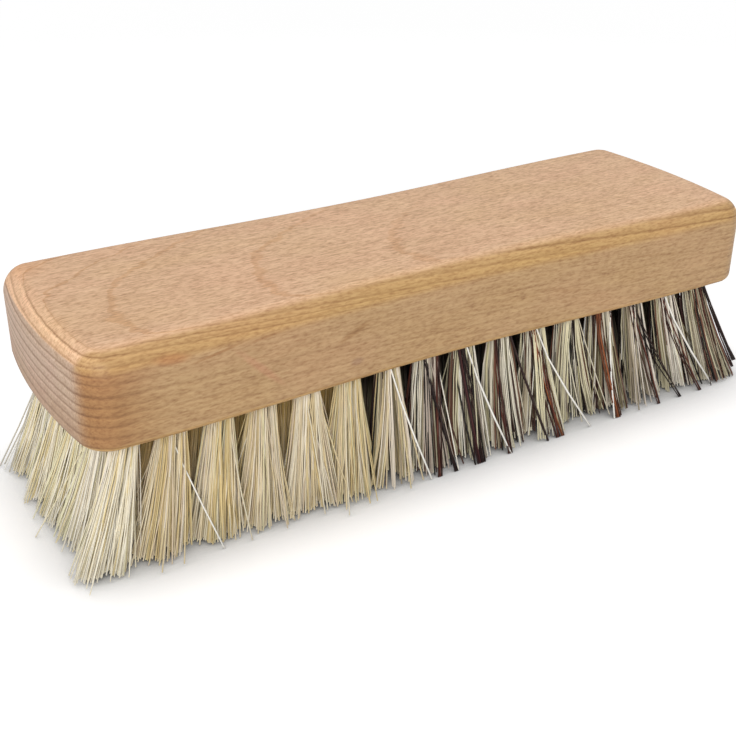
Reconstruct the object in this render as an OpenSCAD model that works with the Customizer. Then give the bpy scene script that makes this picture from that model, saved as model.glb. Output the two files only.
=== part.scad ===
// Vegetable brush: a bored beech block filled with two grades of plant fibre.
// Lengths are in millimetres and angles in degrees.
// Frame: the origin lies on the plane of the fibre tips, under the middle of the brush.
// +X runs along the block away from the soft end, +Y across it, and +Z up through its top.

/* [Block] */
// Length of the block, at mid width
block_len = 150; // [135:1:200]
// Width of the block, near its ends
block_w = 48; // [46:1:60]
// Height of the block
block_h = 18; // [15:0.5:26]
// How far each long side draws in at mid length
waist = 1.8; // [0:0.1:2.5]
// Distance from each end of the block to the start of the drawn-in stretch
waist_margin = 12; // [8:1:30]
// How far each end swells out at mid width
end_swell = 2.3; // [0:0.1:4]
// Distance from each end over which the swelling fades along the long sides
swell_reach = 25; // [15:1:40]
// Radius of the four upright corners
corner_r = 5.2; // [4:0.1:9]
// Radius of the round-over along the top edge
top_round = 4.8; // [1:0.1:6]
// Radius of the easing along the bottom edge
base_round = 1.6; // [0.4:0.1:2]

/* [Tuft holes] */
// Holes in each row along the block
columns = 16; // [12:1:16]
// How many of those columns, from the soft end, hold soft fibre
soft_columns = 6; // [1:1:11]
// Rows of holes across the block
rows = 5; // [3:2:5]
// Diameter of a tuft hole
hole_d = 5; // [4:0.1:5.6]
// Depth of a tuft hole
hole_depth = 12; // [9:0.5:12.5]
// Distance from the end of the block to the centre of the first hole
end_margin = 10; // [9:0.5:14]
// Distance from the side of the block to the centres of the outer row
side_margin = 6.4; // [6:0.1:8]

/* [Tufts] */
// Length of fibre that stands out of the block
trim_len = 25; // [15:0.5:40]
// Strands in each tuft
strands = 6; // [4:1:6]
// Gap between neighbouring strands of a tuft at the root
root_gap = 0.1; // [0.05:0.05:0.4]
// Gap between neighbouring strands of a tuft at the tips
tip_gap = 1.2; // [0.4:0.1:2]
// Gap between the tips of neighbouring tufts
tuft_gap = 0.25; // [0.1:0.05:2]
// Length of the packed root that shows below the block
root_show = 1; // [0.2:0.1:3]
// Outward lean of the tips at the two ends of the brush
end_lean = 7.5; // [0:0.5:12]
// Outward lean of the tips along the two long sides
side_lean = 1.5; // [0:0.1:4]

/* [Anchors] */
// Thickness of the flat anchor wire
anchor_t = 0.5; // [0.3:0.05:0.8]
// Width of the anchor wire, along the hole
anchor_w = 2; // [1.2:0.1:3]
// How far each end of an anchor bites into the wood
anchor_bite = 0.4; // [0.2:0.05:0.6]
// Turn of the anchors from the grain
anchor_turn = 90; // [0:5:90]
// Depth of folded fibre between an anchor and the end of its hole
fold_depth = 1; // [0.5:0.1:3]

/* [Fits] */
// Clearance round a packed root in its hole
root_fit = 0.05; // [0.02:0.01:0.15]
// Clearance round an anchor in the fibre and in the wood
anchor_fit = 0.03; // [0.01:0.01:0.1]

/* [Hidden] */
function two_digits(n) = str(n < 10 ? "0" : "", n);
function is_soft(c) = c <= soft_columns;
function tuft_node(c) = str(is_soft(c) ? "soft_tufts_" : "firm_tufts_", two_digits(c));
function anchor_node(c) = str("anchors_", two_digits(c));
COLUMNS = [1:columns];
ROWS = [1:rows];

// Steps of the block's curved shell
corner_steps = 7;
side_steps = 14;
end_steps = 6;
top_steps = 6;
base_steps = 2;
// Smallest radius that a corner keeps inside the round-over
least_corner = 0.4;
// Overlap that lets a cutting shape pass through a face
cut_over = 1;
// Sides of a strand, how far it reaches up into its packed root, and how far it keeps inside it
strand_sides = 3;
strand_grip = 1.5;
strand_inset = 0.2;
// Height of a strand's bend as a share of the trim, and its share of the spread and lean there
bend_at = 0.5;
bend_share = 0.42;
// Share of the outward lean that grows evenly from mid length to the ends, as in a fan of holes
fan_share = 0.65;
// How fast the rest of it fades away from the ends, and the lean across from the long sides
end_fade = 6;
side_fade = 3;

// Colours of the beech, the steel and the fibres
beech = "#D3A981";
steel = "#B9BDC2";
soft_fibre = ["#DCCD9F", "#E9E0BD", "#CDB983"];
firm_fibre = ["#B9AE92", "#7A4A33", "#CFC5A6", "#4A2F2A"];

half_len = block_len / 2;
half_w = block_w / 2;
top_fillet = min(top_round, corner_r - least_corner);
base_fillet = min(base_round, corner_r - least_corner);
first_x = half_len - end_margin;
outer_y = half_w - side_margin;
waist_half = half_len - waist_margin;
column_pitch = 2 * first_x / (columns - 1);
row_pitch = 2 * outer_y / (rows - 1);
root_r = hole_d / 2 - root_fit;
tip_reach = (min(column_pitch, row_pitch) - tuft_gap) / 2;

// Centre of the hole in column c, and of the hole in row r
function hole_x(c) = -first_x + column_pitch * (c - 1);
function hole_y(r) = -outer_y + row_pitch * (r - 1);

// A ring of strands that reaches out to reach with a gap between neighbours:
// the distance of its strands from the middle, and of a strand's corners from its own middle
function ring_spread(reach, gap) = (reach + gap / 2) / (1 + sin(180 / strands));
function ring_strand_r(reach, gap) = reach - ring_spread(reach, gap);

// Where the trimmed tips of a tuft lie, measured from its hole
function fan(u) = fan_share * u + (1 - fan_share) * pow(u, end_fade);
function lean_x(x) = end_lean * sign(x) * fan(abs(x) / first_x);
function lean_y(y) = side_lean * sign(y) * pow(abs(y) / outer_y, side_fade);

// Plan outline of the block, drawn in by off: four corner arcs joined by stepped sides
function corner_arc(sx, sy, from, off) = [
    for (k = [0:corner_steps])
        let (a = from + 90 * k / corner_steps)
        [
            sx * (half_len - corner_r) + (corner_r - off) * cos(a),
            sy * (half_w - corner_r) + (corner_r - off) * sin(a)
        ]
];
function between(p, q, steps) = [for (k = [1:steps - 1]) p + (q - p) * k / steps];
function straight_outline(off) = let (
        ne = corner_arc(1, 1, 0, off),
        nw = corner_arc(-1, 1, 90, off),
        sw = corner_arc(-1, -1, 180, off),
        se = corner_arc(1, -1, 270, off),
        last = corner_steps
    )
    concat(
        ne, between(ne[last], nw[0], side_steps),
        nw, between(nw[last], sw[0], end_steps),
        sw, between(sw[last], se[0], side_steps),
        se, between(se[last], ne[0], end_steps)
    );

// The long sides draw in along a cosine, and the ends swell along a parabola
function side_draw(x) = abs(x) < waist_half ? waist * (1 + cos(180 * abs(x) / waist_half)) / 2 : 0;
function end_draw(x, y) =
    end_swell * pow(y / half_w, 2) * max(0, 1 - (half_len - abs(x)) / swell_reach);
function shaped(p) = [p.x - sign(p.x) * end_draw(p.x, p.y), p.y - sign(p.y) * side_draw(p.x)];

// Profile of the shell from the underside up, as [inset, height]
shell_profile = concat(
    [
        for (k = [0:base_steps])
            let (a = 90 * k / base_steps)
            [base_fillet * (1 - sin(a)), base_fillet * (1 - cos(a))]
    ],
    [
        for (k = [0:top_steps])
            let (a = 90 * k / top_steps)
            [top_fillet * (1 - cos(a)), block_h - top_fillet * (1 - sin(a))]
    ]
);

// Closed skin through stacked rings of equal count, with a middle point in each cap
module skin(rings, low_mid, high_mid) {
    n = len(rings[0]);
    last = len(rings) - 1;
    low = n * len(rings);
    high = low + 1;
    polyhedron(
        points = concat([for (ring = rings) each ring], [low_mid, high_mid]),
        faces = concat(
            [
                for (i = [0:last - 1], k = [0:n - 1])
                    let (a = i * n + k, b = i * n + (k + 1) % n)
                    each [[a, a + n, b + n], [a, b + n, b]]
            ],
            [for (k = [0:n - 1]) [low, k, (k + 1) % n]],
            [for (k = [0:n - 1]) [high, last * n + (k + 1) % n, last * n + k]]
        )
    );
}

// Solid block before boring
module block_shell() {
    rings = [
        for (level = shell_profile)
            [
                for (p = straight_outline(level[0]))
                    let (q = shaped(p))
                    [q.x, q.y, trim_len + level[1]]
            ]
    ];
    skin(rings, [0, 0, trim_len], [0, 0, trim_len + block_h]);
}

// Flat wire anchor across the hole at x, y, with room left round it by grow
module anchor(x, y, grow = 0) {
    size = [hole_d + 2 * anchor_bite, anchor_t, anchor_w] + 2 * grow * [1, 1, 1];
    middle = trim_len + hole_depth - fold_depth - anchor_w / 2;
    translate([x, y, middle])
        rotate([0, 0, anchor_turn])
            cube(size, center = true);
}

// Blind hole at x, y, with the seats that the anchor cuts in its wall
module tuft_hole(x, y) {
    translate([x, y, trim_len - cut_over])
        cylinder(d = hole_d, h = hole_depth + cut_over, $fn = 48);
    anchor(x, y, anchor_fit);
}

// Wooden block, bored from below
module block() {
    color(beech)
        difference() {
            block_shell();
            for (c = COLUMNS, r = ROWS)
                tuft_hole(hole_x(c), hole_y(r));
        }
}

// One strand of a tuft, from inside the packed root to the trimmed tips
module strand(x, y, turn) {
    root = [ring_spread(root_r - strand_inset, root_gap), ring_strand_r(root_r - strand_inset, root_gap)];
    tip = [ring_spread(tip_reach, tip_gap), ring_strand_r(tip_reach, tip_gap)];
    levels = [
        [trim_len + strand_grip, 0],
        [trim_len * bend_at, bend_share],
        [0, 1]
    ];
    sides = strand_sides;
    last = len(levels) - 1;
    polyhedron(
        points = [
            for (level = levels, k = [0:sides - 1])
                let (
                    ring = root + (tip - root) * level[1],
                    a = turn + 360 * k / sides
                )
                [
                    x + lean_x(x) * level[1] + ring[0] * cos(turn) + ring[1] * cos(a),
                    y + lean_y(y) * level[1] + ring[0] * sin(turn) + ring[1] * sin(a),
                    level[0]
                ]
        ],
        faces = concat(
            [
                for (i = [0:last - 1], k = [0:sides - 1])
                    let (a = i * sides + k, b = i * sides + (k + 1) % sides)
                    each [[a, b, b + sides], [a, b + sides, a + sides]]
            ],
            [[2, 1, 0], [last * sides, last * sides + 1, last * sides + 2]]
        )
    );
}

// One tuft: fibre packed into its hole, folded round the anchor, and its strands
module tuft(c, r) {
    x = hole_x(c);
    y = hole_y(r);
    shades = is_soft(c) ? soft_fibre : firm_fibre;
    half_step = 180 / strands * ((c + r) % 2);
    difference() {
        union() {
            color(shades[0])
                translate([x, y, trim_len - root_show])
                    cylinder(r = root_r, h = hole_depth + root_show, $fn = 48);
            for (s = [0:strands - 1])
                color(shades[(s + c * r) % len(shades)])
                    strand(x, y, half_step + 360 * s / strands);
        }
        anchor(x, y, anchor_fit);
    }
}

// The tufts of one column
module tuft_column(c) {
    for (r = ROWS)
        tuft(c, r);
}

// The anchors of one column
module anchor_column(c) {
    color(steel)
        for (r = ROWS)
            anchor(hole_x(c), hole_y(r));
}

block();
for (c = COLUMNS) {
    tuft_column(c);
    anchor_column(c);
}
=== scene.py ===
"""A vegetable brush: a bored beech block filled with a soft and a firm grade of plant fibre.

Lengths are in millimetres here and become metres when a mesh is made. The frame is the
part's own: the fibre tips stand on z = 0, +X runs away from the soft end, +Y across and +Z up.
"""

import logging
import math
from dataclasses import dataclass, replace
from enum import Enum
from functools import partial
from typing import Callable

import bpy
import numpy as np
from mathutils import Matrix, Vector


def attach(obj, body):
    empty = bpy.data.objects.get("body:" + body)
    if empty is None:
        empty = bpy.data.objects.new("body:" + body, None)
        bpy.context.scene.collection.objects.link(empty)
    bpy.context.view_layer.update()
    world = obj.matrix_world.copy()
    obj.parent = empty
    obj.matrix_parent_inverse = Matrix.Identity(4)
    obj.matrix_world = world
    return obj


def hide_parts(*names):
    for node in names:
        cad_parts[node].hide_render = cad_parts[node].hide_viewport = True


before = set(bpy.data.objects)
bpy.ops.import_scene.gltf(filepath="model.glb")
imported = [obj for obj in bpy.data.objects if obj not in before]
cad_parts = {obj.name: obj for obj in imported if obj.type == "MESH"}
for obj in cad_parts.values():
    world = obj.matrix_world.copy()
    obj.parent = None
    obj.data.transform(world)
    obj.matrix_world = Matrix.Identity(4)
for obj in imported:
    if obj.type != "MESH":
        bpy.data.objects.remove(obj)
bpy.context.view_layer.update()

LOG = logging.getLogger("brush")
MM = 0.001
PICTURE_SIDE = 736
SENSOR_MM = 36.0
BODY = "root"
# Places of the two colours and the result on a Mix node that mixes colours
MIX_A, MIX_B, MIX_OUT = 6, 7, 2
# Which side of the middle each corner of a rectangle lies on, anticlockwise
CORNERS = np.array([(1, 1), (-1, 1), (-1, -1), (1, -1)], float)

Array = np.ndarray
Socket = bpy.types.NodeSocket
Adder = Callable[..., Socket]


def linear(code: str) -> tuple[float, float, float]:
    """Turns an sRGB hex colour into linear light.

    Args:
        code: colour as #RRGGBB.

    Returns:
        Linear red, green and blue.
    """
    channels = np.array([int(code[i:i + 2], 16) for i in (1, 3, 5)]) / 255.0
    dark = channels / 12.92
    bright = ((channels + 0.055) / 1.055) ** 2.4
    return tuple(float(v) for v in np.where(channels <= 0.04045, dark, bright))


def add(tree: bpy.types.NodeTree, kind: str, inputs: dict | None = None,
        out: int | str = 0, **settings) -> Socket | None:
    """Adds a node with its settings and links.

    Args:
        tree: node tree that gets the node.
        kind: Blender's type name after ShaderNode.
        inputs: for each input, by name or number, a socket that feeds it, a value or a hex colour.
        out: the output that is wanted.
        settings: properties of the node.

    Returns:
        The wanted output, or None if the node has none.
    """
    node = tree.nodes.new("ShaderNode" + kind)
    for name, value in settings.items():
        setattr(node, name, value)
    for name, value in (inputs or {}).items():
        if isinstance(value, bpy.types.NodeSocket):
            tree.links.new(value, node.inputs[name])
        elif isinstance(value, str):
            node.inputs[name].default_value = (*linear(value), 1.0)
        else:
            node.inputs[name].default_value = value
    return node.outputs[out] if node.outputs else None


def new_material(name: str) -> tuple[bpy.types.Material, Adder]:
    """Makes an empty material.

    Args:
        name: name of the real material.

    Returns:
        The material, and add() bound to its node tree.
    """
    material = bpy.data.materials.new(name)
    material.use_nodes = True
    material.node_tree.nodes.clear()
    return material, partial(add, material.node_tree)


def loft(rings: Array) -> tuple[Array, Array, Array]:
    """Closes many skins at once, each through its own stack of rings.

    Point k of level i joins point k + 1 of the same level and the same two of level i + 1,
    and the first and last ring of a stack are its caps. A ring that turns anticlockwise,
    seen against the way its stack climbs, gives faces that point outwards.

    Args:
        rings: points as (stack, level, point on the ring, 3).

    Returns:
        Points as rows, four-cornered faces, and caps with a ring's number of corners.
    """
    stacks, levels, around = rings.shape[:3]
    index = np.arange(stacks * levels * around).reshape(stacks, levels, around)
    after = np.roll(index, -1, axis=2)
    quads = np.stack([index[:, :-1], after[:, :-1], after[:, 1:], index[:, 1:]], axis=-1)
    caps = np.concatenate([index[:, 0, ::-1], index[:, -1]])
    return rings.reshape(-1, 3), quads.reshape(-1, 4), caps


def make_piece(name: str, skin: tuple[Array, Array, Array]) -> bpy.types.Object:
    """Puts a skin into a new object at the origin.

    Args:
        name: name of the piece.
        skin: points in millimetres, four-cornered faces and caps, as loft() gives them.

    Returns:
        The object, shaded smooth but for its caps.
    """
    points, quads, caps = skin
    corners = np.concatenate([quads.ravel(), caps.ravel()]).astype(np.int32)
    sizes = np.repeat([4, caps.shape[1]], [len(quads), len(caps)])
    starts = (np.cumsum(sizes) - sizes).astype(np.int32)
    mesh = bpy.data.meshes.new(name)
    mesh.vertices.add(len(points))
    mesh.vertices.foreach_set("co", (points * MM).astype(np.float32).ravel())
    mesh.loops.add(len(corners))
    mesh.loops.foreach_set("vertex_index", corners)
    mesh.polygons.add(len(sizes))
    mesh.polygons.foreach_set("loop_start", starts)
    mesh.polygons.foreach_set("use_smooth", np.arange(len(sizes)) < len(quads))
    mesh.update(calc_edges=True)
    piece = bpy.data.objects.new(name, mesh)
    bpy.context.scene.collection.objects.link(piece)
    return piece


def settle(piece: bpy.types.Object, slot: str, material: bpy.types.Material, *nodes: str) -> None:
    """Dresses a piece and puts it in the place of its CAD nodes.

    Args:
        piece: the finished piece.
        slot: the record's material slot; not used.
        material: its finish.
        nodes: CAD nodes that it stands for.
    """
    piece.data.materials.clear()
    piece.data.materials.append(material)
    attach(piece, BODY)
    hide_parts(*nodes)
    LOG.info("%s: %d faces", piece.name, len(piece.data.polygons))


class Grade(Enum):
    """The two grades of fibre, by the record's material slot."""

    SOFT = "soft_fibre"
    FIRM = "firm_fibre"


@dataclass(frozen=True)
class Viewpoint:
    """The photograph's camera, which looks past an aim point above the middle of the brush."""

    focal_px: float = 1201.355
    azimuth: float = -31.011
    elevation: float = 27.610
    roll: float = 0.186
    distance: float = 241.93
    aim_height: float = 35.0
    aim_right_px: float = 28.42
    aim_down_px: float = -101.87

    def build(self) -> bpy.types.Object:
        """Makes the camera.

        It stands at the aim point plus its distance back along the view, less the two steps
        sideways that move the aim point from the middle of the picture to its own pixel.

        Returns:
            The camera object.
        """
        turn, lift, tilt = (math.radians(v) for v in (self.azimuth, self.elevation, self.roll))
        back = Vector((math.sin(turn) * math.cos(lift), -math.cos(turn) * math.cos(lift), math.sin(lift)))
        level = Vector((0, 0, 1)).cross(back).normalized()
        rise = back.cross(level)
        right = level * math.cos(tilt) + rise * math.sin(tilt)
        up = rise * math.cos(tilt) - level * math.sin(tilt)
        mm_per_px = self.distance / self.focal_px
        place = Vector((0, 0, self.aim_height)) + back * self.distance
        place += up * self.aim_down_px * mm_per_px - right * self.aim_right_px * mm_per_px
        data = bpy.data.cameras.new("camera")
        data.sensor_width = SENSOR_MM
        data.lens = self.focal_px * SENSOR_MM / PICTURE_SIDE
        data.clip_start, data.clip_end = 0.01, 20.0
        camera = bpy.data.objects.new("camera", data)
        axes = Matrix((right, up, back)).transposed().to_4x4()
        camera.matrix_world = Matrix.Translation(place * MM) @ axes
        bpy.context.scene.collection.objects.link(camera)
        bpy.context.scene.camera = camera
        return camera


@dataclass(frozen=True)
class Studio:
    """A white floor and surroundings that give even light, and a large soft lamp near the camera.

    Its lengths are in metres.
    """

    ambient: float = 0.46
    lamp_side: float = 1.0
    lamp_watts: float = 26.0
    lamp_place: tuple[float, float, float] = (-0.88, -1.40, 0.86)
    floor_half: float = 3.0
    floor_gap: float = 0.0001
    floor_bounce: float = 0.72
    floor_glow: float = 0.34
    far_glow: float = 0.60
    glow_from: float = 0.4
    glow_to: float = 1.6
    shadow_reach: float = 0.016

    def seen(self, put: Adder) -> Socket:
        """Gives 1 for rays that show the background: the camera's, and those of gloss and glass.

        Args:
            put: add() bound to a tree.

        Returns:
            The socket of that number.
        """
        rays = put("LightPath").node.outputs
        mirror = put("Math", {0: rays["Is Glossy Ray"], 1: rays["Is Transmission Ray"]},
                     operation="MAXIMUM")
        return put("Math", {0: rays["Is Camera Ray"], 1: mirror}, operation="MAXIMUM")

    def build_world(self) -> None:
        """Makes a plain grey light all round that shows as white."""
        world = bpy.data.worlds.new("studio")
        world.use_nodes = True
        world.node_tree.nodes.clear()
        put = partial(add, world.node_tree)
        light = put("Background", {"Color": "#FFFFFF", "Strength": self.ambient})
        white = put("Background", {"Color": "#FFFFFF", "Strength": 1.0})
        both = put("MixShader", {0: self.seen(put), 1: light, 2: white})
        put("OutputWorld", {"Surface": both})
        bpy.context.scene.world = world

    def build_lamp(self) -> None:
        """Hangs one large soft lamp in front of the brush, near the camera's line and aimed at it."""
        data = bpy.data.lights.new("softbox", "AREA")
        data.shape, data.size, data.energy = "SQUARE", self.lamp_side, self.lamp_watts
        lamp = bpy.data.objects.new("softbox", data)
        lamp.location = self.lamp_place
        lamp.rotation_euler = Vector(self.lamp_place).to_track_quat("Z", "Y").to_euler()
        bpy.context.scene.collection.objects.link(lamp)

    def build_floor(self) -> None:
        """Lays the white floor, which keeps the brush's shadow close to the tips.

        Its lit colour and its glow add up to more than white away from the brush, and both
        fall off where the brush stands in the way within the shadow's reach. The glow grows
        further out, where the lamp gives less. On the brush the floor sheds the even light
        that a white floor sends back, under the brush as well, so that the tufts can be seen
        from below.
        """
        half, low = self.floor_half / MM, -self.floor_gap / MM
        corners = np.column_stack([CORNERS * half, np.full(4, low)])
        floor = make_piece("floor", (corners, np.array([[0, 1, 2, 3]]), np.empty((0, 4), int)))
        material, put = new_material("painted_floor")
        paint = put("Emission", {"Color": "#FFFFFF", "Strength": self.floor_bounce})
        open_share = put("AmbientOcclusion", {"Distance": self.shadow_reach}, out="AO")
        away = put("VectorMath", {0: put("TexCoord", out="Object")}, out="Value", operation="LENGTH")
        growth = put("MapRange", {0: away, 1: self.glow_from, 2: self.glow_to,
                                  3: self.floor_glow, 4: self.far_glow})
        strength = put("Math", {0: open_share, 1: growth}, operation="MULTIPLY")
        glow = put("Emission", {"Color": "#FFFFFF", "Strength": strength})
        shown = put("AddShader", {0: put("BsdfDiffuse", {"Color": open_share}), 1: glow})
        lit = put("MixShader", {0: self.seen(put), 1: paint, 2: shown})
        clear = put("BsdfTransparent")
        back = put("NewGeometry", out="Backfacing")
        put("OutputMaterial", {"Surface": put("MixShader", {0: back, 1: lit, 2: clear})})
        floor.data.materials.append(material)

    def build(self) -> None:
        """Makes the light, the floor and the plain view settings."""
        self.build_world()
        self.build_lamp()
        self.build_floor()
        bpy.context.scene.view_settings.view_transform = "Standard"


@dataclass(frozen=True)
class HolePattern:
    """Where the tuft holes are, and how they are bored and wired."""

    columns: int = 16
    soft_columns: int = 6
    rows: int = 5
    first_x: float = 65.0
    outer_y: float = 17.6
    radius: float = 2.5
    depth: float = 12.0
    mouth: float = 25.0
    wire_length: float = 5.8
    wire_thickness: float = 0.5
    wire_low: float = 34.0
    wire_high: float = 36.0
    fit: float = 0.03

    def column_x(self, column: int) -> float:
        """Gives the x of a column, counted from 1 at the soft end."""
        return -self.first_x + 2 * self.first_x * (column - 1) / (self.columns - 1)

    def row_y(self) -> Array:
        """Gives the y of each row."""
        return np.linspace(-self.outer_y, self.outer_y, self.rows)

    def centres(self) -> Array:
        """Gives the middle of every hole as rows of x and y."""
        x = np.linspace(-self.first_x, self.first_x, self.columns)
        return np.stack(np.meshgrid(x, self.row_y()), axis=-1).reshape(-1, 2)

    def prisms(self, ring: Array, low: float, high: float) -> Array:
        """Stands one upright prism on every hole.

        Args:
            ring: plan of the prism about the hole's middle, as rows of x and y.
            low: height of its lower end.
            high: height of its upper end.

        Returns:
            Rings for loft().
        """
        plan = self.centres()[:, None, None, :] + ring[None, None, :, :]
        plan = np.repeat(plan, 2, axis=1)
        heights = np.broadcast_to(np.array([low, high])[None, :, None, None], (*plan.shape[:3], 1))
        return np.concatenate([plan, heights], axis=-1)


@dataclass(frozen=True)
class WoodMark:
    """A discoloured patch or a knotty streak on the front face: its middle, its size and how steeply it
    lies.
    """

    x: float
    z: float
    length: float
    breadth: float
    slope: float
    colour: str
    share: float


WOOD_MARKS = tuple(WoodMark(*values) for values in (
    (-42.0, 33.6, 11.0, 1.4, -1.0, "#B07A5C", 0.45),
    (-23.0, 35.4, 7.0, 1.3, 0.42, "#8A6238", 0.65),
    (-58.0, 39.6, 6.0, 1.8, -0.1, "#A0683A", 0.60),
    (-22.5, 29.4, 2.6, 1.4, 0.0, "#80604E", 0.45),
    (-50.0, 38.6, 9.0, 0.5, 0.15, "#875A2E", 0.60),
    (-40.5, 39.2, 7.0, 0.5, 0.10, "#8C6034", 0.50),
    (24.0, 33.0, 12.0, 0.9, -0.20, "#8F6A42", 0.45),
    (47.0, 36.0, 14.0, 0.8, -0.12, "#8F6A42", 0.40),
))


@dataclass(frozen=True)
class OiledBeech:
    """Steamed beech, planed, rounded over, sanded and lightly oiled.

    Steaming makes the wood pinkish and the oil golden, above all on the round-over. It shows
    thin dark growth lines on its end grain and its sides, which turn into broad faint arches
    where the flat top runs nearly along them, and short fine flecks along the grain everywhere.
    """

    # The sides' colour is darker than the top's: painted shade for light that falls mostly from above, on
    # what is the same wood
    top: str = "#E3B890"
    side: str = "#A8865E"
    corner: str = "#966B40"
    end: str = "#B89B83"
    end_foot: str = "#9F7A59"
    golden: str = "#B28B55"
    orange: str = "#E0965C"
    # What patches, late wood, early wood and the top's arches multiply the colour by
    pink: tuple[float, float, float, float] = (1.01, 0.95, 0.97, 1.0)
    straw: tuple[float, float, float, float] = (1.01, 1.01, 0.92, 1.0)
    late_wood: tuple[float, float, float, float] = (0.58, 0.49, 0.40, 1.0)
    early_wood: tuple[float, float, float, float] = (1.20, 1.21, 1.24, 1.0)
    arches: tuple[float, float, float, float] = (0.84, 0.72, 0.58, 1.0)
    roughness: float = 0.58
    # How far the dark growth lines lie from a pith far above the block, as its end, its front
    # and its top show them, how much nearer they come per millimetre towards the soft end, and
    # how far they wander slowly and finely
    rings: tuple[float, ...] = (267.35, 269.05, 270.65, 272.1, 273.5, 274.15, 275.05, 276.55, 277.95,
                                279.45, 281.75, 283.65, 285.25, 287.15, 289.35, 291.25, 293.05)
    pith_height: float = 313.0
    pith_aside: float = -10.0
    taper: float = 0.047
    slow_wander: float = 0.6
    fine_wander: float = 0.3
    # Flecks, grain, fibre lines, mottle and tone: their size in millimetres along X, Y and Z, and
    # how strongly each shades the wood
    figure: tuple[tuple[tuple[float, float, float], float], ...] = (
        ((1.2, 0.36, 0.36), 1.5), ((4.0, 0.5, 0.5), 0.6), ((22.0, 0.7, 0.7), 0.35),
        ((3.6, 2.0, 2.0), 0.3), ((24.0, 12.0, 12.0), 0.2))
    # The powers that the shade's red, green and blue are raised to, so that dark figure is browner
    shade_powers: tuple[float, float, float] = (0.85, 1.15, 1.40)
    # How ragged the edges of the marks are
    fray: float = 2.4
    # The end grain is greyer up to this height, where the round-over's cut begins
    end_top: float = 40.4

    def build(self) -> bpy.types.Material:
        """Makes the material on Object coordinates in millimetres.

        Returns:
            The material.
        """
        material, put = new_material("oiled_beech")
        place = put("VectorMath", {0: put("TexCoord", out="Object"), "Scale": 1 / MM}, operation="SCALE")
        facing = put("VectorMath", {0: put("TexCoord", out="Normal")}, operation="ABSOLUTE")
        faces = put("SeparateXYZ", {0: facing}).node.outputs
        axes = put("SeparateXYZ", {0: place}).node.outputs
        along = put("Math", {0: axes["X"]}, operation="ABSOLUTE")

        def streaks(*size: float) -> Socket:
            """Gives noise whose features have this size in millimetres along X, Y and Z."""
            scaled = put("VectorMath", {0: place, 1: tuple(1 / s for s in size)}, operation="MULTIPLY")
            return put("TexNoise", {"Vector": scaled, "Scale": 1.0, "Detail": 2.0})

        def ease(value: Socket, low: float, high: float, strength: float = 1.0) -> Socket:
            """Turns a value smoothly into a share that grows from 0 at low to strength at high."""
            return put("MapRange", {0: value, 1: low, 2: high, 3: 0.0, 4: strength},
                       interpolation_type="SMOOTHSTEP")

        def both(*shares: Socket | float) -> Socket:
            """Multiplies shares."""
            product = shares[0]
            for share in shares[1:]:
                product = put("Math", {0: product, 1: share}, operation="MULTIPLY")
            return product

        def plus(base: Socket | float, *parts: tuple[Socket, float]) -> Socket:
            """Adds values, each times its own gain, to a base."""
            for value, gain in parts:
                base = put("Math", {0: value, 1: gain, 2: base}, operation="MULTIPLY_ADD")
            return base

        # Growth lines: the distance from the pith less the taper, with a slow and a fine wander,
        # and from it the number of the line and how far the season is on towards the next
        pith = (0, -self.pith_aside, -self.pith_height)
        round_pith = put("VectorMath", {0: place, 1: (0, 1, 1), 2: pith}, operation="MULTIPLY_ADD")
        distance = put("VectorMath", {0: round_pith}, out="Value", operation="LENGTH")
        depth = plus(distance, (axes["X"], -self.taper), (streaks(90.0, 30.0, 30.0), self.slow_wander),
                     (streaks(4.0, 2.5, 2.5), self.fine_wander))
        first, last, gaps = self.rings[0], self.rings[-1], len(self.rings) - 1
        ages = put("FloatCurve", {1: put("MapRange", {0: depth, 1: first, 2: last})})
        curve = ages.node.mapping.curves[0]
        for number in range(1, gaps):
            curve.points.new((self.rings[number] - first) / (last - first), number / gaps)
        for point in curve.points:
            point.handle_type = "VECTOR"
        ages.node.mapping.update()
        count = both(ages, gaps)
        season = put("Math", {0: count}, operation="FRACT")
        strength = put("MapRange", {0: put("TexNoise", {"W": count, "Scale": 0.8}, noise_dimensions="1D"),
                                    1: 0.35, 2: 0.65, 3: 0.45, 4: 1.0})
        near_end = ease(along, 58.0, 71.5)
        on_end = ease(faces["X"], 0.40, 0.97)
        on_top = ease(faces["Z"], 0.84, 0.998)
        on_side = ease(faces["Y"], 0.45, 0.9)
        on_front = both(on_side, ease(axes["Y"], 0.0, -5.0))
        below_cut = ease(axes["Z"], self.end_top + 0.25, self.end_top - 0.15)
        rim = both(plus(1.0, (on_top, -1.0)), ease(faces["Z"], 0.12, 0.45))
        # The lines are faint on the sides, stronger near the ends and on the round-over and
        # strongest on the end grain. The top shows hardly more than arches at its soft end.
        line_share = plus(0.26, (near_end, 0.36), (on_end, 0.50), (rim, 0.34))
        line_share = both(line_share, plus(1.0, (on_top, -0.75)), strength)
        late = both(ease(season, 0.64, 0.85), ease(season, 0.98, 0.91), line_share)
        arch = both(ease(season, 0.90, 0.945), ease(season, 1.00, 0.975), on_top, strength,
                    ease(axes["X"], 24.0, -30.0))
        early = both(ease(season, 0.02, 0.10), ease(season, 0.40, 0.12), line_share)

        marble = streaks(5.0, 5.0, 1.6)

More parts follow.
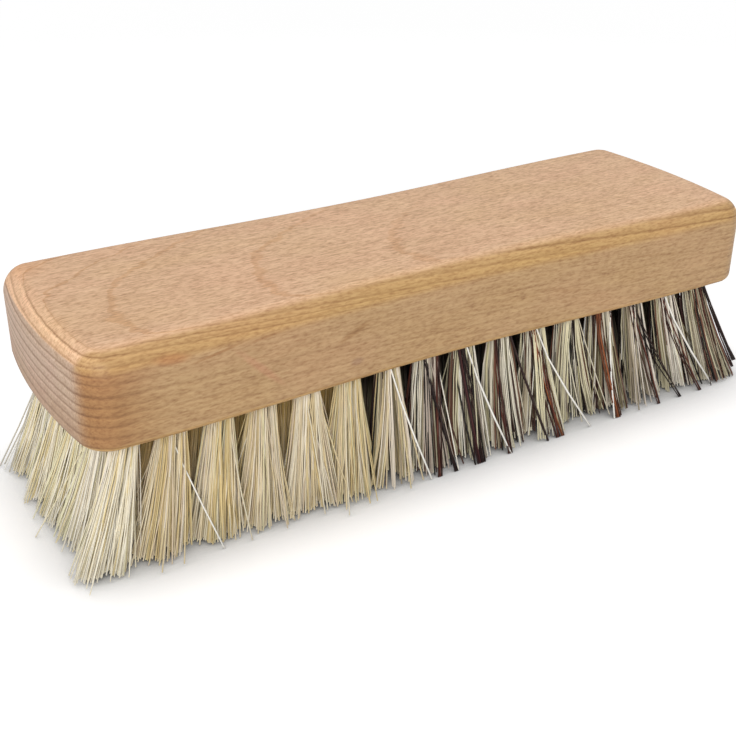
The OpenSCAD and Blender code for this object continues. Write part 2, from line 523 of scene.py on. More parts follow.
        def mark(one: WoodMark) -> Socket:
            """Works out a mark's share of the front.

            It is full about the middle of a sloping ellipse, gone at 1.5 times the ellipse's
            size and ragged at its edge.

            Args:
                one: the mark.

            Returns:
                Its share.
            """
            turn = math.atan(one.slope)
            cos, sin = math.cos(turn), math.sin(turn)
            half_l, half_b = one.length / 2, one.breadth / 2
            run = put("VectorMath", {0: place, 1: (cos / half_l, 0, sin / half_l)}, out="Value",
                      operation="DOT_PRODUCT")
            climb = put("VectorMath", {0: place, 1: (-sin / half_b, 0, cos / half_b)}, out="Value",
                        operation="DOT_PRODUCT")
            spot = put("CombineXYZ", {0: run, 1: climb, 2: both(marble, self.fray)})
            middle = ((one.x * cos + one.z * sin) / half_l, (one.z * cos - one.x * sin) / half_b,
                      self.fray / 2)
            apart = put("VectorMath", {0: spot, 1: middle}, out="Value", operation="DISTANCE")
            return both(ease(apart, 1.5, 0.4, one.share), on_front)

        # Noise lies about 0.5, so half of all gains comes off, and the level lies about 1. The
        # darkest flecks are a little darker still, and the top shows the figure a little more.
        shadings = [(streaks(*size), gain) for size, gain in self.figure]
        fleck, tone = shadings[0][0], shadings[-1][0]
        level = plus(0.02 - sum(gain for _, gain in self.figure) / 2, *shadings,
                     (ease(fleck, 0.58, 0.72), -0.25))
        contrast = plus(0.75, (on_top, 0.1))
        level = put("Math", {0: level, 1: contrast, 2: 1.0}, operation="MULTIPLY_ADD")
        channels = [put("Math", {0: level, 1: power}, operation="POWER") for power in self.shade_powers]
        shade_of_figure = put("CombineXYZ", dict(enumerate(channels)))
        rounded = both(rim, ease(faces["Y"], 0.15, 0.4, 0.8))
        soft_corner = both(ease(axes["X"], -58.0, -71.5), ease(faces["Y"], 0.08, 0.65), below_cut)
        back_corner = both(ease(axes["Y"], 11.0, 20.0), ease(axes["X"], -62.0, -71.0, 0.35),
                           ease(axes["Z"], 41.5, 42.8))
        layers = (
            # Painted shade: the sides take a darker colour than the top
            ("MIX", self.side, on_side),
            ("MIX", self.end, both(on_end, below_cut)),
            ("MIX", self.end_foot, both(on_end, ease(axes["Z"], 35.0, 27.0, 0.6))),
            ("MIX", self.corner, soft_corner),
            ("MIX", self.golden, rounded),
            ("MIX", self.orange, back_corner),
            *(("MIX", one.colour, mark(one)) for one in WOOD_MARKS),
            ("MULTIPLY", self.pink, ease(tone, 0.45, 0.70, 0.6)),
            ("MULTIPLY", self.straw, ease(tone, 0.55, 0.30, 0.5)),
            ("MULTIPLY", shade_of_figure, 1.0),
            ("MULTIPLY", self.early_wood, early),
            ("MULTIPLY", self.late_wood, late),
            ("MULTIPLY", self.arches, arch),
        )
        colour = put("Mix", {0: 1.0, MIX_B: self.top}, out=MIX_OUT, data_type="RGBA")
        for blend, shade, share in layers:
            colour = put("Mix", {0: share, MIX_A: colour, MIX_B: shade}, out=MIX_OUT, data_type="RGBA",
                         blend_type=blend)
        relief = put("Bump", {"Height": level, "Strength": 0.25, "Distance": 0.0002}, out="Normal")
        shell = put("BsdfPrincipled", {"Base Color": colour, "Roughness": self.roughness,
                                       "Normal": relief})
        put("OutputMaterial", {"Surface": shell})
        return material


@dataclass(frozen=True)
class Block:
    """The handle: one piece of beech with rounded corners and edges, bored from below."""

    holes: HolePattern
    finish: OiledBeech
    half_length: float = 75.0
    half_width: float = 24.0
    height: float = 18.0
    waist: float = 1.8
    waist_half: float = 63.0
    end_swell: float = 2.3
    swell_reach: float = 25.0
    corner_radius: float = 5.2
    top_round: float = 4.8
    base_round: float = 1.6
    corner_steps: int = 14
    side_steps: int = 110
    end_steps: int = 36
    edge_steps: int = 14
    base_steps: int = 5
    wall_steps: int = 10
    hole_sides: int = 48
    # How far the bores' cutters start below the wood, and the angle past which an edge is sharp
    overcut: float = 1.0
    crease: float = 35.0

    def outline(self, inset: Array) -> Array:
        """Works out the plan outline at several insets at once.

        Each corner is a quarter circle about a fixed centre, its radius less the inset, and
        straight runs join the corners. Then x loses swell times (y / half width) squared times
        what is left of the swell's reach, and y loses waist times half of 1 plus the cosine
        of half a turn times |x| / waist half.

        Args:
            inset: how far each outline is drawn in.

        Returns:
            Points as (inset, place on the outline, 2), anticlockwise from +X.
        """
        middles = CORNERS * (self.half_length - self.corner_radius, self.half_width - self.corner_radius)
        turn = np.radians(np.arange(4)[:, None] * 90 + np.linspace(0, 90, self.corner_steps + 1))
        circle = np.stack([np.cos(turn), np.sin(turn)], axis=-1)
        radius = self.corner_radius - np.asarray(inset, float)
        arcs = middles[None, :, None] + radius[:, None, None, None] * circle[None]
        parts = []
        for corner, steps in enumerate((self.side_steps, self.end_steps) * 2):
            share = (np.arange(1, steps) / steps)[None, :, None]
            start, stop = arcs[:, corner, -1:], arcs[:, (corner + 1) % 4, :1]
            parts += [arcs[:, corner], start + (stop - start) * share]
        x, y = np.moveaxis(np.concatenate(parts, axis=1), -1, 0)
        left = np.maximum(0, 1 - (self.half_length - np.abs(x)) / self.swell_reach)
        swell = self.end_swell * (y / self.half_width) ** 2 * left
        waist = self.waist * (1 + np.cos(np.pi * np.abs(x) / self.waist_half)) / 2
        waist = np.where(np.abs(x) < self.waist_half, waist, 0)
        return np.stack([x - np.sign(x) * swell, y - np.sign(y) * waist], axis=-1)

    def profile(self) -> Array:
        """Works out the upright profile: a small arc, a straight wall and the larger round-over.

        Returns:
            Rows of inset and height above the underside.
        """
        low = np.radians(np.linspace(0, 90, self.base_steps + 1))
        high = np.radians(np.linspace(0, 90, self.edge_steps + 1))
        wall = np.linspace(self.base_round, self.height - self.top_round, self.wall_steps + 1)[1:-1]
        base = np.stack([self.base_round * (1 - np.sin(low)), self.base_round * (1 - np.cos(low))], -1)
        side = np.stack([np.zeros_like(wall), wall], -1)
        top = np.stack([self.top_round * (1 - np.cos(high)),
                        self.height - self.top_round * (1 - np.sin(high))], -1)
        return np.concatenate([base, side, top])

    def shell(self) -> tuple[Array, Array, Array]:
        """Carries the outline up the profile and closes it with flat caps.

        Returns:
            The skin of the block before boring.
        """
        inset, height = self.profile().T
        plan = self.outline(inset)
        rise = np.broadcast_to(height[:, None, None] + self.holes.mouth, (*plan.shape[:2], 1))
        return loft(np.concatenate([plan, rise], axis=-1)[None])

    def cut(self, piece: bpy.types.Object, name: str, rings: Array) -> None:
        """Takes closed prisms out of a piece for good.

        Args:
            piece: the piece that is cut.
            name: name of the cut.
            rings: the prisms' rings, for loft().
        """
        cutter = make_piece(name, loft(rings))
        boolean = piece.modifiers.new(name, "BOOLEAN")
        boolean.operation, boolean.solver, boolean.object = "DIFFERENCE", "MANIFOLD", cutter
        scene_state = bpy.context.evaluated_depsgraph_get()
        cut_mesh = bpy.data.meshes.new_from_object(piece.evaluated_get(scene_state))
        piece.modifiers.clear()
        old = piece.data
        piece.data = cut_mesh
        bpy.data.meshes.remove(old)
        bpy.data.meshes.remove(cutter.data)

    def build(self) -> bpy.types.Object:
        """Makes the bored block with the seats that the anchors cut in its holes.

        Returns:
            The block's object.
        """
        holes = self.holes
        piece = make_piece("beech_block", self.shell())
        turn = np.radians(np.arange(self.hole_sides) * 360 / self.hole_sides)
        bore = holes.radius * np.stack([np.cos(turn), np.sin(turn)], axis=-1)
        self.cut(piece, "bores", holes.prisms(bore, holes.mouth - self.overcut, holes.mouth + holes.depth))
        half = np.array([holes.wire_thickness / 2, holes.wire_length / 2]) + holes.fit
        low, high = holes.wire_low - holes.fit, holes.wire_high + holes.fit
        self.cut(piece, "seats", holes.prisms(half * CORNERS, low, high))
        piece.data.shade_smooth()
        piece.data.set_sharp_from_angle(angle=math.radians(self.crease))
        settle(piece, "beech", self.finish.build(), "block")
        return piece


@dataclass(frozen=True)
class FibreKind:
    """One sort of fibre: its share among locks and among loners, its thickness and its shades."""

    share: float
    alone: float
    thickness: tuple[float, float]
    shades: tuple[str, ...]


SOFT_KINDS = (
    FibreKind(0.58, 0.52, (0.18, 0.24), ("#EBDAB5", "#E8D5AA", "#EEDFBF", "#E7D4B7", "#E3D9B0")),
    FibreKind(0.16, 0.20, (0.18, 0.24), ("#E5D19D", "#E2CB94", "#E7D5A6")),
    FibreKind(0.26, 0.28, (0.18, 0.24), ("#F4E9D3", "#F0E5CA", "#EEE2CF")),
)
# The first column's tufts are paler
PALE_KINDS = (
    FibreKind(0.56, 0.50, (0.18, 0.24), ("#FAF0D2", "#F8ECC8", "#FBF2DA", "#F8ECD2", "#F6EFCC")),
    FibreKind(0.14, 0.18, (0.18, 0.24), ("#F2E2B2", "#F0DDAA", "#F4E5BC")),
    FibreKind(0.30, 0.32, (0.18, 0.24), ("#FCF6E6", "#FAF2DE", "#F9F1E2")),
)
FIRM_KINDS = (
    FibreKind(0.37, 0.22, (0.19, 0.27),
              ("#DED5BC", "#D2C9A8", "#E0D6C0", "#C8BA9E", "#CAC094", "#CCBCAC")),
    FibreKind(0.28, 0.13, (0.19, 0.27), ("#F0E9D4", "#E8DFBC", "#F4EEDE", "#E6DACA")),
    FibreKind(0.16, 0.15, (0.21, 0.33), ("#A4967E", "#8E8262", "#B0A288", "#978A7C")),
    FibreKind(0.07, 0.12, (0.20, 0.40), ("#6A4636", "#7A5240", "#54342A")),
    FibreKind(0.06, 0.19, (0.19, 0.40), ("#3A2420", "#452C26", "#2E1E1A")),
    FibreKind(0.06, 0.19, (0.19, 0.36), ("#120C0A", "#1B1311")),
)
# What inner tufts' colours are multiplied by at the holes: painted shade for the dark among the tufts
# under the block, warm for the soft grade
INNER_SHADES = {"soft_fibre": (0.96, 0.80, 0.48), "firm_fibre": (0.04, 0.03, 0.025)}


@dataclass(frozen=True)
class NotedFibre:
    """A fibre that stands out in the photograph, placed from the middle of its hole."""

    column: int
    root_x: float
    tip_x: float
    shade: str
    thickness: float
    tip_y: float = -7.0
    tip_z: float = 0.0
    row: int = 0


WHITE, GREY, ORANGE = "#FBF8F0", "#CFC8B8", "#8A5030"
RUSSET, MAROON, SEPIA = "#592E22", "#3C1C1B", "#2A1814"
NOTED_FIBRES = tuple(NotedFibre(*values) for values in (
    (1, -1.6, -13.3, GREY, 0.26, 5.6, 0.2, 4),
    (1, -1.9, -13.0, WHITE, 0.24, 3.6, 0.3, 4),
    (1, -2.0, -12.4, GREY, 0.26, 2.2, 0.3, 4),
    (1, -1.2, -12.6, GREY, 0.24, 4.6, 0.9, 4),
    (2, -1.9, 5.0, WHITE, 0.26),
    (7, -0.8, 6.4, WHITE, 0.34),
    (8, 1.4, -0.3, RUSSET, 0.80),
    (8, -1.6, 3.6, SEPIA, 0.70),
    (9, -0.7, 8.4, WHITE, 0.38),
    (9, -1.9, 0.7, MAROON, 0.95),
    (9, -1.4, 1.6, SEPIA, 0.75),
    (10, -1.9, -0.4, RUSSET, 0.85),
    (10, 1.1, 9.3, SEPIA, 0.50),
    (11, -1.1, 12.0, WHITE, 0.36),
    (11, -1.9, 3.4, RUSSET, 0.85),
    (11, -1.3, 4.6, ORANGE, 0.60),
    (13, 1.7, 1.4, WHITE, 0.36),
    (13, -1.9, 2.5, ORANGE, 0.95),
    (13, -1.5, 3.3, ORANGE, 0.70, -6.6),
    (14, -1.5, 11.7, SEPIA, 0.62),
    (14, -1.9, 5.5, RUSSET, 0.60),
    (15, -1.4, 13.6, WHITE, 0.40, -6.0),
    (15, -1.9, 9.1, RUSSET, 0.66),
    (16, 1.4, 14.2, SEPIA, 0.90, -3.4, 2.4),
    (16, 1.7, 13.6, MAROON, 0.60, -3.8, 1.0),
    (16, 0.2, 9.2, RUSSET, 0.60, -5.6),
))
# A noted fibre thicker than this is a lock of three strands: how far each stands aside in the
# hole, as a share of the thickness, and how bright it is, a strand's radius as a share as well,
# and how many times as far apart the strands are at their tips
COARSE = 0.55
STRANDS = ((-0.32, 0.5), (0.0, 1.2), (0.32, 0.3))
STRAND_SHARE = 0.20
STRAND_OPENING = 1.5


@dataclass(frozen=True)
class PlantFibre:
    """Cut plant fibre: tough leaf fibre, cream for the soft grade, mixed with brown palm for the firm.

    Each fibre has its own shade, kept in the attribute fibre_tone, with fine streaks along
    it and a satin surface like straw. Some light passes through it and comes out yellower.
    """

    grade: Grade
    roughness: float = 0.55
    gloss: float = 0.3
    through: float = 0.08
    through_tint: str = "#FFEFC4"
    # Streaks 0.15 mm wide and 5 mm long, as fibre has along its length, and 0.05 mm deep
    streaks_per_metre: tuple[float, float, float] = (6500.0, 6500.0, 200.0)
    streak_depth: float = 0.00005

    def build(self) -> bpy.types.Material:
        """Makes the material.

        Returns:
            The material.
        """
        look = "cream" if self.grade is Grade.SOFT else "mixed"
        material, put = new_material(f"{look}_plant_fibre")
        tone = put("Attribute", out="Color", attribute_name="fibre_tone")
        place = put("VectorMath", {0: put("TexCoord", out="Object"), 1: self.streaks_per_metre},
                    operation="MULTIPLY")
        streak = put("TexNoise", {"Vector": place, "Scale": 1.0, "Detail": 2.0})
        level = put("MapRange", {0: streak, 1: 0.25, 2: 0.75, 3: 0.86, 4: 1.02})
        colour = put("VectorMath", {0: tone, "Scale": level}, operation="SCALE")
        inner = put("Mix", {0: 1.0, MIX_A: colour, MIX_B: self.through_tint}, out=MIX_OUT,
                    data_type="RGBA", blend_type="MULTIPLY")
        grain = put("Bump", {"Height": streak, "Strength": 0.3, "Distance": self.streak_depth},
                    out="Normal")
        shell = put("BsdfPrincipled", {"Base Color": colour, "Roughness": self.roughness, "Normal": grain,
                                       "Specular IOR Level": self.gloss})
        glow = put("BsdfTranslucent", {"Color": inner})
        put("OutputMaterial", {"Surface": put("MixShader", {0: self.through, 1: shell, 2: glow})})
        return material


@dataclass(frozen=True)
class Lay:
    """How a grade's fibres lie: in locks that stay together and fan out from the hole.

    A lock is spread times as wide at the floor as in the hole. Locks and single fibres end a
    little aside from that, strays much more, and locks end unevenly above the floor. Loners
    are the share of fibres that don't take their lock's kind.
    """

    locks: int
    spread: float
    lock_scatter: float
    fibre_scatter: float
    stray_share: float
    stray_reach: float
    uneven: float
    loners: float


LAYS = {
    Grade.SOFT: Lay(12, 1.65, 0.60, 0.70, 0.14, 1.9, 0.35, 0.45),
    Grade.FIRM: Lay(9, 1.3, 0.85, 0.45, 0.05, 2.2, 0.45, 0.46),
}


@dataclass
class Legs:
    """One leg of each fibre in a tuft: its place in the hole, its tip, and what it is made of.

    The other leg's place is the mirrored one, across the wire or through the middle of the hole.
    """

    roots: Array
    tips: Array
    radius: Array
    tones: Array
    lock: Array
    middles: Array
    mirror: tuple[float, float]


@dataclass(frozen=True)
class TuftColumn:
    """Five tufts across the brush: fibres folded over an anchor wire and trimmed at the tips."""

    number: int
    holes: HolePattern
    finish: bpy.types.Material
    seed: int = 4300
    # The lattice's step and how near legs may come, as shares of their thickness, the half
    # width of the lattice in steps, how far a leg stands off its place and off the wire, and
    # how near to the wire's plane a lock's middle comes
    packing: float = 0.94
    squeeze: float = 0.68
    half_grid: int = 17
    jitter: float = 0.02
    clearance: float = 0.05
    lock_inset: float = 0.3
    # A tuft's radius in its hole and at the floor, how far tufts differ there, how much wider the
    # outermost are, and how many times as thick a fibre is at its tip
    root_radius: float = 2.42
    tip_radius: float = 4.6
    openness: tuple[float, float] = (0.94, 1.10)
    end_spread: float = 0.05
    tip_growth: float = 1.2
    # How far tips lie from their holes at the brush's ends, what part of that grows evenly, how
    # far they lie out at its sides, and how far all have drifted to the firm end
    end_lean: float = 7.5
    fan_share: float = 0.65
    side_lean: float = 1.5
    drift: float = 0.6
    # How far strays go to the firm end, how unevenly fibres end, and the share of short ones
    stray_drift: tuple[float, float] = (0.8, 0.0)
    fibre_uneven: float = 0.2
    short_share: float = 0.06
    short_by: float = 2.0
    # The levels of a leg as shares of its height, and how far locks and single fibres bow
    levels: tuple[float, ...] = (0.0, 0.30, 0.65, 1.0)
    lock_bow: float = 0.22
    fibre_bow: float = 0.14
    # How far the fold stays below the wire's top at its shoulders, off the wire and off the
    # hole's end
    shoulder: float = 0.3
    off_wire: float = 0.04
    off_end: float = 0.1
    # How many numbers a tint is drawn from, a fibre's darkest tone, the cream share in the first
    # firm column, how many columns are pale, and the heights where the inner tufts' painted shade begins
    # and is full
    tints: int = 99
    darkest: float = 0.88
    cream_share: float = 0.45
    pale_columns: int = 1
    inner_shade_from: float = 4.0
    inner_shade_to: float = 14.0
    sides: int = 4

    @property
    def grade(self) -> Grade:
        """Tells which grade the column holds."""
        return Grade.SOFT if self.number <= self.holes.soft_columns else Grade.FIRM

    def lean(self, x: float, y: float) -> Array:
        """Works out how far the tips of a tuft lie from its hole.

        Along the brush most of it grows evenly from mid length, as in a fan of holes, and the
        rest with the sixth power, and all tips have drifted a little to the firm end. Across
        the brush it grows with the cube.

        Args:
            x: the hole's place along the brush.
            y: its place across it.

        Returns:
            The way along and across.
        """
        far = abs(x) / self.holes.first_x
        fan = self.fan_share * far + (1 - self.fan_share) * far ** 6
        across = self.side_lean * np.sign(y) * (abs(y) / self.holes.outer_y) ** 3
        return np.array([self.end_lean * np.sign(x) * fan + self.drift, across])

    def mixture(self) -> tuple[FibreKind, ...]:
        """Picks the column's kinds of fibre, with cream ones among the first firm column's.

        Returns:
            The kinds, whose shares add up to 1.
        """
        if self.grade is Grade.SOFT:
            return PALE_KINDS if self.number <= self.pale_columns else SOFT_KINDS
        if self.number > self.holes.soft_columns + 1:
            return FIRM_KINDS
        mixed = ((FIRM_KINDS, 1 - self.cream_share), (SOFT_KINDS, self.cream_share))
        return tuple(replace(k, share=k.share * part, alone=k.alone * part)
                     for kinds, part in mixed for k in kinds)

    def pack(self, lean: Array, rng: np.random.Generator) -> Legs:
        """Packs one leg of each folded fibre into the half of a hole beside its wire.

        Legs stand on a turned triangular lattice. Each belongs to the lock whose middle is
        nearest and mostly takes the lock's kind. A leg that comes nearer to an earlier one
        than the squeeze allows is left out. The others may press into each other a little.

        Args:
            lean: where the tuft's tips lie from the hole.
            rng: random numbers.

        Returns:
            The legs of one half.
        """
        kinds, lay = self.mixture(), LAYS[self.grade]
        step = min(k.thickness[0] for k in kinds) * self.packing
        grid = np.arange(-self.half_grid, self.half_grid + 1)
        a, b = np.meshgrid(grid, grid)
        lattice = np.stack([(a + b / 2) * step, b * step * math.sqrt(3) / 2], axis=-1).reshape(-1, 2)
        turn = rng.uniform(0, math.pi / 3)
        spin = np.array([[math.cos(turn), -math.sin(turn)], [math.sin(turn), math.cos(turn)]])
        spots = lattice @ spin + rng.normal(0, self.jitter, lattice.shape)
        spots = spots[rng.permutation(len(spots))]
        lowest = (self.lock_inset, -self.root_radius)
        middles = rng.uniform(lowest, self.root_radius, (lay.locks, 2))
        lock = np.linalg.norm(spots[:, None] - middles[None], axis=-1).argmin(axis=1)
        loner = rng.random(len(spots)) < lay.loners
        lock_kind = rng.choice(len(kinds), lay.locks, p=[k.share for k in kinds])
        own_kind = rng.choice(len(kinds), len(spots), p=[k.alone for k in kinds])
        kind = np.where(loner, own_kind, lock_kind[lock])
        span = np.array([k.thickness for k in kinds])[kind]
        radius = rng.uniform(span[:, 0], span[:, 1]) / 2
        keep = np.hypot(*spots.T) < self.root_radius - radius
        keep &= spots[:, 0] > self.holes.wire_thickness / 2 + radius + self.clearance
        gaps = np.linalg.norm(spots[:, None] - spots[None], axis=-1)
        beaten = np.tril(gaps < self.squeeze * (radius[:, None] + radius[None]), -1)
        for one in range(len(spots)):
            keep[one] &= not (beaten[one] & keep).any()
        spots, radius, kind, lock = spots[keep], radius[keep], kind[keep], lock[keep]
        own_tint = rng.integers(0, self.tints, len(kind))
        lock_tint = rng.integers(0, self.tints, lay.locks)
        tint = np.where(loner[keep], own_tint, lock_tint[lock])
        tips = self.scatter(spots, middles, lock, lean, rng)
        return Legs(spots, tips, radius, self.tones(kinds, kind, tint, rng), lock, middles, (-1.0, 1.0))

    def scatter(self, spots: Array, middles: Array, lock: Array, lean: Array,
                rng: np.random.Generator) -> Array:
        """Works out where legs end.

        A lock's middle moves out in proportion to its place in the hole, more so towards the
        brush's ends, and then a little at random. Its legs keep together about it, but for a
        few that stray.

        Args:
            spots: places of the legs about the middle of the hole.
            middles: middles of the locks in the hole.
            lock: the number of each leg's lock.
            lean: where the tuft's tips lie from the hole.
            rng: random numbers.

        Returns:
            Tips as rows of x, y and z about the middle of the hole.
        """
        lay, count = LAYS[self.grade], len(spots)
        far = abs(self.holes.column_x(self.number)) / self.holes.first_x
        wider = 1 + self.end_spread * far ** 4
        fan = rng.uniform(*self.openness) * wider * self.tip_radius / self.root_radius
        moved = middles * fan + lean + rng.normal(0, lay.lock_scatter, middles.shape)
        plan = moved[lock] + (spots - middles[lock]) * lay.spread
        plan += rng.normal(0, lay.fibre_scatter, (count, 2))
        stray = rng.random(count) < lay.stray_share
        plan += stray[:, None] * rng.normal(self.stray_drift, lay.stray_reach, (count, 2))
        rise = np.abs(rng.normal(0, lay.uneven, len(middles)))[lock]
        rise += np.abs(rng.normal(0, self.fibre_uneven, count))
        rise += (rng.random(count) < self.short_share) * rng.uniform(0, self.short_by, count)
        return np.concatenate([plan, rise[:, None]], axis=1)

    def noted(self, row: int) -> Legs | None:
        """Gathers the legs of a tuft that stand out in the photograph.

        They leave the hole at its rim, on the side of the nearer long face, and a coarse one
        is a lock of strands side by side.

        Args:
            row: the tuft's row.

        Returns:
            Their legs, or None if the tuft has none.
        """
        found = [f for f in NOTED_FIBRES if (f.column, f.row) == (self.number, row)]
        if not found:
            return None
        side = -1.0 if row < self.holes.rows // 2 else 1.0
        rows = [(f, aside, bright) for f in found
                for aside, bright in (STRANDS if f.thickness > COARSE else ((0.0, 1.0),))]
        roots = np.array([(f.root_x, side * math.sqrt(self.root_radius ** 2 - f.root_x ** 2))
                          for f, _, _ in rows])
        tips = np.array([(f.tip_x, f.tip_y, f.tip_z) for f, _, _ in rows])
        apart = np.array([f.thickness * aside for f, aside, _ in rows])
        roots[:, 0] += apart
        tips[:, 0] += STRAND_OPENING * apart
        radius = np.array([f.thickness * (STRAND_SHARE if f.thickness > COARSE else 0.5)
                           for f, _, _ in rows])
        tones = np.array([(*(np.array(linear(f.shade)) * bright), 1.0) for f, _, bright in rows])
        return Legs(roots, tips, radius, tones, np.arange(len(rows)), roots, (-1.0, -1.0))

    def paths(self, legs: Legs, rng: np.random.Generator) -> Array:
        """Runs legs from their places in the hole's mouth down to the trimmed tips.

        A leg's way out grows as a power near 1 of the share of its height, so that it leaves
        the hole nearly straight, and its lock bows a little.

        Args:
            legs: the legs.
            rng: random numbers.

        Returns:
            Points as (leg, level, 3) about the middle of the hole, from the mouth to the tip.
        """
        count = len(legs.roots)
        share = np.array(self.levels)
        away = (share ** rng.uniform(1.0, 1.3, count)[:, None])[..., None]
        bows = rng.normal(0, self.lock_bow, (legs.lock.max() + 1, 2))[legs.lock]
        bows += rng.normal(0, self.fibre_bow, (count, 2))
        bow = bows[:, None] * (share * (1 - share) * 4)[None, :, None]
        plan = legs.roots[:, None] + (legs.tips[:, :2] - legs.roots)[:, None] * away + bow
        rise = self.holes.mouth + (legs.tips[:, 2:] - self.holes.mouth) * share
        return np.concatenate([plan, rise[..., None]], axis=-1)

    def fold(self, spots: Array, mates: Array, radius: Array) -> Array:
        """Folds fibres over the wire, from one leg's place in the hole to its mate's.

        Args:
            spots: places of the first legs.
            mates: places of the second legs.
            radius: radii of the fibres.

        Returns:
            Points as (fibre, level, 3): up beside the wire, over it and down again.
        """
        shoulder = self.holes.wire_high - self.shoulder
        room = self.holes.mouth + self.holes.depth - self.holes.wire_high - 2 * radius - self.off_end
        top = self.holes.wire_high + radius + self.off_wire + room * np.abs(spots[:, 0]) / self.root_radius
        middle = (spots + mates) / 2 * (0.0, 1.0)
        plan = np.stack([spots, middle, mates], axis=1)
        rise = np.stack([np.full_like(top, shoulder), top, np.full_like(top, shoulder)], axis=1)
        return np.concatenate([plan, rise[..., None]], axis=-1)

    def tubes(self, paths: Array, radius: Array) -> Array:
        """Sweeps a small polygon along every path, cut off level at the floor.

        A ring's first direction is the part of Y that is square to the path, which never
        turns over because no fibre runs along Y, and its second is square to both.

        Args:
            paths: points as (fibre, level, 3).
            radius: radii as (fibre, level).

        Returns:
            Rings for loft().
        """
        ahead = np.gradient(paths, axis=1)
        ahead /= np.linalg.norm(ahead, axis=-1, keepdims=True)
        first = np.array([0.0, 1.0, 0.0]) - ahead * ahead[..., 1:2]
        first /= np.linalg.norm(first, axis=-1, keepdims=True)
        second = np.cross(ahead, first)
        turn = np.arange(self.sides) * 2 * math.pi / self.sides
        circle = first[..., None, :] * np.cos(turn)[:, None] + second[..., None, :] * np.sin(turn)[:, None]
        rings = paths[..., None, :] + radius[..., None, None] * circle
        rings[..., 2] = np.maximum(rings[..., 2], 0.0)
        return rings

    def tones(self, kinds: tuple[FibreKind, ...], kind: Array, tint: Array,
              rng: np.random.Generator) -> Array:
        """Picks each fibre's linear colour from its kind's shades, a little lighter or darker.

        Args:
            kinds: the sorts of fibre.
            kind: the number of each fibre's kind.
            tint: a whole number for each fibre that picks its shade, the same within a lock.
            rng: random numbers.

        Returns:
            Rows of red, green, blue and 1.
        """
        widest = max(len(k.shades) for k in kinds)
        shades = np.array([[linear(k.shades[i % len(k.shades)]) for i in range(widest)] for k in kinds])
        picked = shades[kind, tint % widest] * rng.uniform(self.darkest, 1.0, (len(kind), 1))
        return np.concatenate([picked, np.ones((len(kind), 1))], axis=1)

    def tuft(self, legs: Legs, lean: Array, rng: np.random.Generator) -> Array:
        """Folds a tuft's fibres over the wire, each with a second leg on the wire's other side.

        A leg thickens evenly from the hole to half way down, and not beyond.

        Args:
            legs: the first legs.
            lean: where the tuft's tips lie from the hole.
            rng: random numbers.

        Returns:
            Rings of the whole fibres about the middle of the hole.
        """
        mates, middles = legs.roots * legs.mirror, legs.middles * legs.mirror
        second = replace(legs, roots=mates, tips=self.scatter(mates, middles, legs.lock, lean, rng))
        whole = np.concatenate([self.paths(legs, rng)[:, ::-1], self.fold(legs.roots, mates, legs.radius),
                                self.paths(second, rng)], axis=1)
        height = (self.holes.mouth - whole[..., 2]) / self.holes.mouth
        swell = 1 + (self.tip_growth - 1) * np.clip(height * 2, 0, 1)
        return self.tubes(whole, legs.radius[:, None] * swell)

    def build(self) -> bpy.types.Object:
        """Makes the column's fibres as one piece in the place of its CAD node.

        Returns:
            The column's object.
        """
        rng = np.random.default_rng(self.seed + self.number)
        x = self.holes.column_x(self.number)
        # Painted shade: inner tufts grow darker from the lower height to the upper one and stay so up to
        # the holes, where the tufts and the block shade each other
        inner_shade = 1 - np.array((*INNER_SHADES[self.grade.value], 1.0))
        rings, tones = [], []
        for row, y in enumerate(self.holes.row_y()):
            lean = self.lean(x, y)
            inner = 0 < row < self.holes.rows - 1 and 1 < self.number < self.holes.columns
            for legs in (self.pack(lean, rng), self.noted(row)):
                if legs:
                    rings.append(self.tuft(legs, lean, rng) + np.array([x, y, 0.0]))
                    rise = (rings[-1][..., 2:] - self.inner_shade_from) / (self.inner_shade_to - self.inner_shade_from)
                    tones.append(legs.tones[:, None, None] * (1 - inner_shade * inner * np.clip(rise, 0, 1)))
        skin = np.concatenate(rings)
        prefix = "soft" if self.grade is Grade.SOFT else "firm"
        piece = make_piece(f"{prefix}_fibres_{self.number:02d}", loft(skin))
        layer = piece.data.color_attributes.new("fibre_tone", "FLOAT_COLOR", "POINT")
        layer.data.foreach_set("color", np.concatenate(tones).astype(np.float32).ravel())
        settle(piece, self.grade.value, self.finish, f"{prefix}_tufts_{self.number:02d}")
        return piece


@dataclass(frozen=True)
class DrawnSteelWire:
    """Bright flat steel wire, drawn through a die, which leaves fine lines along it."""

    colour: str = "#C2C5C9"
    roughness: float = 0.32
    # Drawing lines 0.05 mm apart and 3 mm long, along the wire, which lies along Y
    lines_per_metre: tuple[float, float, float] = (20000.0, 330.0, 20000.0)

    def build(self) -> bpy.types.Material:
        """Makes the material.

        Returns:
            The material.
        """
        material, put = new_material("drawn_steel_wire")
        place = put("VectorMath", {0: put("TexCoord", out="Object"), 1: self.lines_per_metre},
                    operation="MULTIPLY")
        line = put("TexNoise", {"Vector": place, "Scale": 1.0, "Detail": 3.0})
        rough = put("MapRange", {0: line, 1: 0.3, 2: 0.7,
                                 3: self.roughness - 0.08, 4: self.roughness + 0.1})
        grain = put("Bump", {"Height": line, "Strength": 0.2, "Distance": 0.00002}, out="Normal")
        shell = put("BsdfPrincipled", {"Base Color": self.colour, "Metallic": 1.0, "Roughness": rough,
                                       "Normal": grain})
        put("OutputMaterial", {"Surface": shell})
        return material


@dataclass(frozen=True)
class Anchors:
    """The flat wires that hold the tufts, whose CAD shape is right as it is."""

    holes: HolePattern
    finish: DrawnSteelWire

    def build(self) -> None:
        """Gives every anchor node the steel finish."""
        steel = self.finish.build()
        for number in range(1, self.holes.columns + 1):
            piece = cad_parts[f"anchors_{number:02d}"]
            for slot in piece.material_slots:
                slot.material = steel
        LOG.info("anchors: %d columns dressed", self.holes.columns)


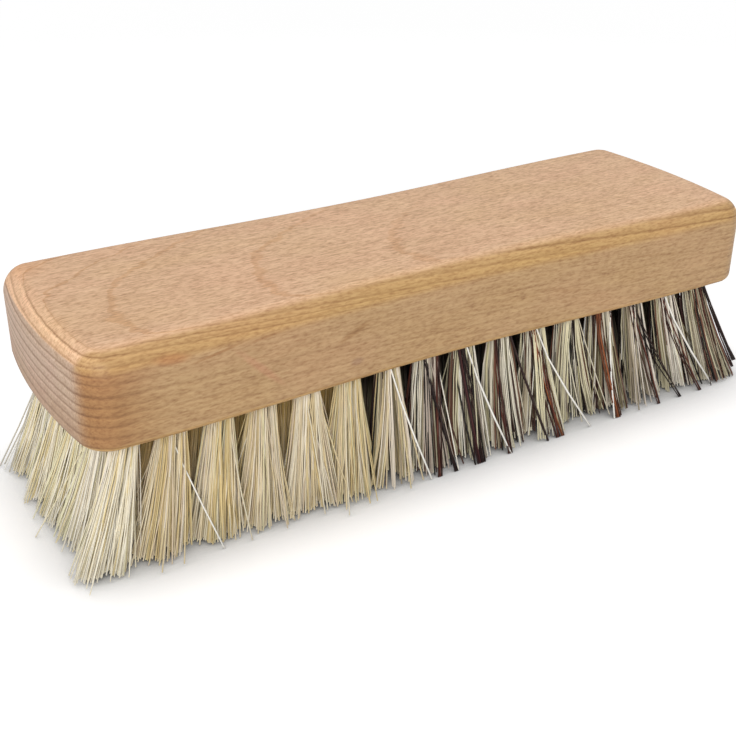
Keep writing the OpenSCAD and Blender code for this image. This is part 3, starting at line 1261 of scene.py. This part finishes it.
def main() -> None:
    """Builds the camera, the studio and the brush, piece by piece."""
    logging.basicConfig(level=logging.INFO, format="%(name)s: %(message)s")
    Viewpoint().build()
    Studio().build()
    holes = HolePattern()
    Block(holes, OiledBeech()).build()
    fibres = {grade: PlantFibre(grade).build() for grade in Grade}
    for number in range(1, holes.columns + 1):
        grade = Grade.SOFT if number <= holes.soft_columns else Grade.FIRM
        TuftColumn(number, holes, fibres[grade]).build()
    Anchors(holes, DrawnSteelWire()).build()


if __name__ == "__main__":
    main()
